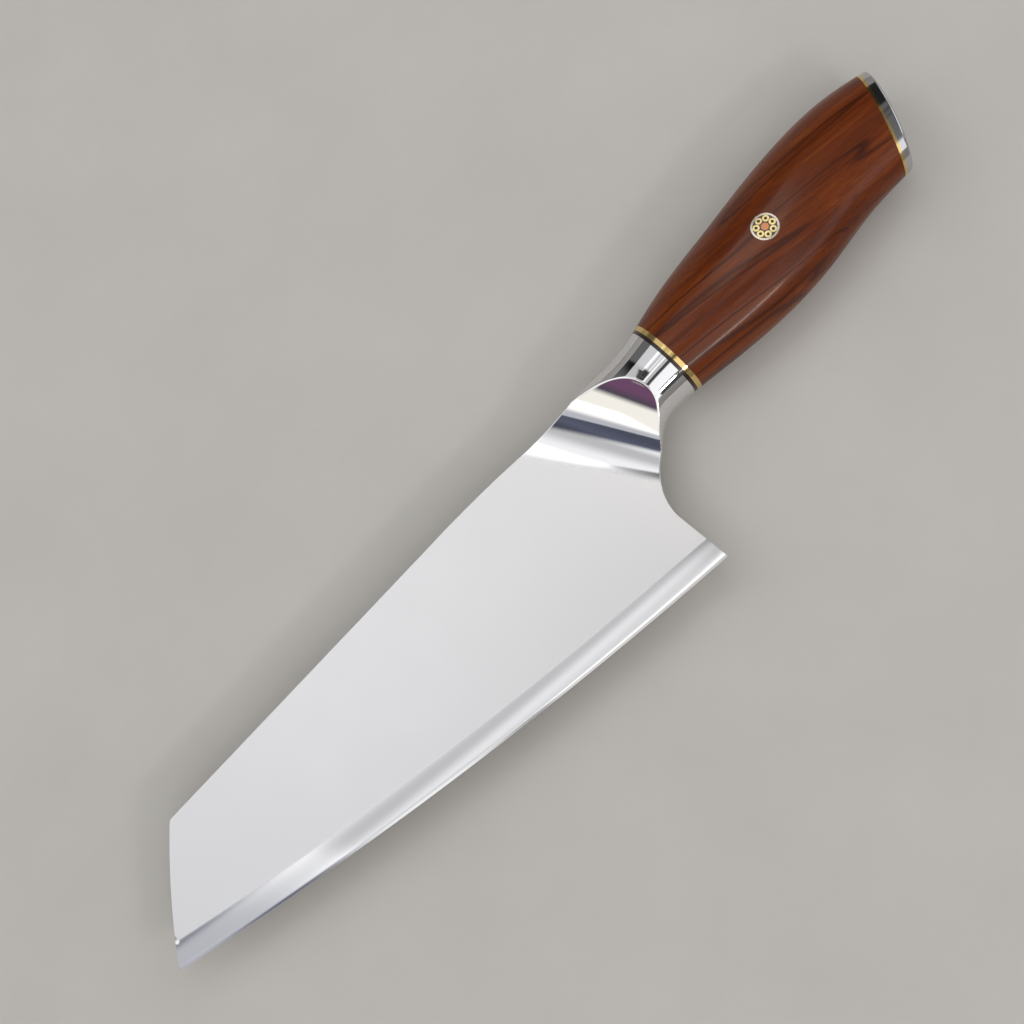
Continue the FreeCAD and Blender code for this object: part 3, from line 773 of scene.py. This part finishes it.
def makeStage():
    # matt painted board with a faint unevenness, for a wide floor and a low round wall behind it
    material, tree, surface = newMaterial("paintedBoard", {
        "Roughness": 0.75, "Specular IOR Level": 0.25,
    })
    stain = addNode(tree, "ShaderNodeTexNoise", {
        "Vector": millimetres(tree, (60.0,) * 3), "Scale": 1.0, "Detail": 6.0, "Roughness": 0.6,
    }).outputs[0]
    tree.links.new(colourRamp(tree, stain, studio["floorTones"]), surface.inputs["Base Color"])
    half = studio["floorSize"] / 2
    square = [(-half, -half, 0), (half, -half, 0), (half, half, 0), (-half, half, 0)]
    angle = np.linspace(0, 2 * math.pi, studio["wallSides"], endpoint=False)
    ring = studio["wallRadius"] * np.stack([np.cos(angle), np.sin(angle), 0 * angle], axis=1)
    wall = np.concatenate([ring, ring + [0, 0, studio["wallHeight"]]]).tolist()
    for name, points, faces in (("floor", square, [(0, 1, 2, 3)]),
                                ("wall", wall, ringFaces(2, studio["wallSides"]))):
        mesh = bpy.data.meshes.new(name)
        mesh.from_pydata(points, [], faces)
        mesh.materials.append(material)
        piece = bpy.data.objects.new(name, mesh)
        bpy.context.scene.collection.objects.link(piece)


lamps = [
    # name, direction from the knife, distance, width, height, radiance, colour
    ("mainBox", (-0.05, 0.48, 0.876), 1.1, 0.47, 0.54, 0.61, "#FFFFFF"),
    ("tipBox", (-0.456, 0.054, 0.889), 0.647, 0.15, 0.15, 0.50, "#FFFFFF"),
    ("gripBox", (0.27, 0.38, 0.885), 1.1, 0.17, 0.60, 2.4, "#FFF8F0"),
    ("collarBox", (0.085, -0.13, 0.99), 1.1, 0.44, 0.18, 0.55, "#FFFCF8"),
    ("edgeStrip", (0.12, -0.80, 0.58), 1.2, 0.35, 0.08, 18.0, "#FFF6EC"),
]


def makeLamps():
    # soft boxes: an area lamp's power is pi times its area times the radiance that a mirror sees
    for name, way, distance, width, height, radiance, colour in lamps:
        data = bpy.data.lights.new(name, "AREA")
        data.shape = "RECTANGLE"
        data.size, data.size_y = width, height
        data.energy = math.pi * width * height * radiance
        data.color = hexColour(colour)[:3]
        lamp = bpy.data.objects.new(name, data)
        way = Vector(way).normalized()
        lamp.location = way * distance
        # the box's width lies along the knife
        across = Vector((1, 0, 0)) - way * way.x
        across.normalize()
        lamp.rotation_euler = Matrix((across, way.cross(across), way)).transposed().to_euler()
        lamp.visible_camera = False
        bpy.context.scene.collection.objects.link(lamp)


def bandsAlong(tree, axis, stops):
    # levels or tints over one component of the direction, which runs from -1 to 1
    share = addNode(tree, "ShaderNodeMapRange", {
        "Value": axis, "From Min": -1.0, "From Max": 1.0,
    }).outputs[0]
    return colourRamp(tree, share, [((place + 1) / 2, tone) for place, tone in stops])


def makeWorld():
    # pale walls all round with darker gaps: a weak one along the knife, a purple and a blue-grey one
    # across the bolster's ramp, two over its collar, one over the end cap and one that darkens the
    # spine's side of the handle
    world = bpy.data.worlds.new("studio")
    bpy.context.scene.world = world
    world.use_nodes = True
    tree = world.node_tree
    tree.nodes.clear()
    way = addNode(tree, "ShaderNodeTexCoord").outputs["Generated"]
    x, y = addNode(tree, "ShaderNodeSeparateXYZ", {0: way}).outputs[:2]
    light = bandsAlong(tree, y, [
        (-0.97, 0.4), (-0.92, 1.2), (-0.06, 1.12), (-0.02, 0.8), (0.02, 0.8), (0.07, 1.12),
        (0.11, 0.60), (0.15, 0.62), (0.21, 1.1), (0.27, 1.15), (1.0, 1.2),
    ])
    ramp = bandsAlong(tree, x, [
        (-0.84, "#6E4C68"), (-0.77, "#4E4952"), (-0.72, "#FFFBF0"), (-0.49, "#FFFBF0"),
        (-0.45, "#5B5F70"), (-0.26, "#5B5F70"), (-0.21, 1.0),
    ])
    besideRamp = bandsAlong(tree, y, [(-0.44, 0.0), (-0.38, 1.0), (0.20, 1.0), (0.30, 0.0)])
    cap = bandsAlong(tree, x, [(0.26, 1.0), (0.31, 0.16), (0.62, 0.16), (0.70, 1.0)])
    besideCap = bandsAlong(tree, y, [(-0.70, 0.0), (-0.62, 1.0)])
    collar = bandsAlong(tree, x, [(0.06, 1.0), (0.09, 0.06), (0.18, 0.06), (0.21, 1.0)])
    besideCollar = bandsAlong(tree, y, [(-0.04, 0.0), (0.0, 1.0)])
    underCollar = bandsAlong(tree, x, [(-0.15, 1.0), (-0.11, 0.06), (0.20, 0.06), (0.24, 1.0)])
    besideUnder = bandsAlong(tree, y, [
        (-0.78, 1.0), (-0.74, 0.0), (-0.38, 0.0), (-0.33, 1.0), (-0.12, 1.0), (-0.06, 0.0),
    ])
    grip = bandsAlong(tree, x, [(-0.22, 1.0), (-0.16, 0.12), (0.46, 0.12), (0.54, 1.0)])
    besideGrip = bandsAlong(tree, y, [(0.27, 0.0), (0.33, 1.0)])
    for tint, share in ((ramp, besideRamp), (cap, besideCap), (collar, besideCollar),
                        (underCollar, besideUnder), (grip, besideGrip)):
        light = addNode(tree, "ShaderNodeMix", {"Factor": share, "A": light, "B": tint},
                        data_type="RGBA", blend_type="MULTIPLY").outputs[2]
    back = addNode(tree, "ShaderNodeBackground", {"Color": light, "Strength": 1.0})
    addNode(tree, "ShaderNodeOutputWorld", {"Surface": back.outputs[0]})


def makeCamera():
    data = bpy.data.cameras.new("camera")
    data.lens = studio["lens"]
    data.sensor_width = 36.0
    data.clip_start = 0.01
    camera = bpy.data.objects.new("camera", data)
    bpy.context.scene.collection.objects.link(camera)
    eye = Vector(studio["camera"]) * 0.001
    look = (Vector(studio["aim"]) * 0.001 - eye).normalized()
    level = look.cross(Vector((0, 1, 0))).normalized()
    upright = level.cross(look)
    roll = math.radians(studio["roll"])
    right = level * math.cos(roll) - upright * math.sin(roll)
    up = right.cross(look)
    turn = Matrix((right, up, -look)).transposed().to_4x4()
    camera.matrix_world = Matrix.Translation(eye) @ turn
    bpy.context.scene.camera = camera


makeStage()
makeLamps()
makeWorld()
makeCamera()
bpy.context.scene.view_settings.view_transform = "Standard"
print("studio made")
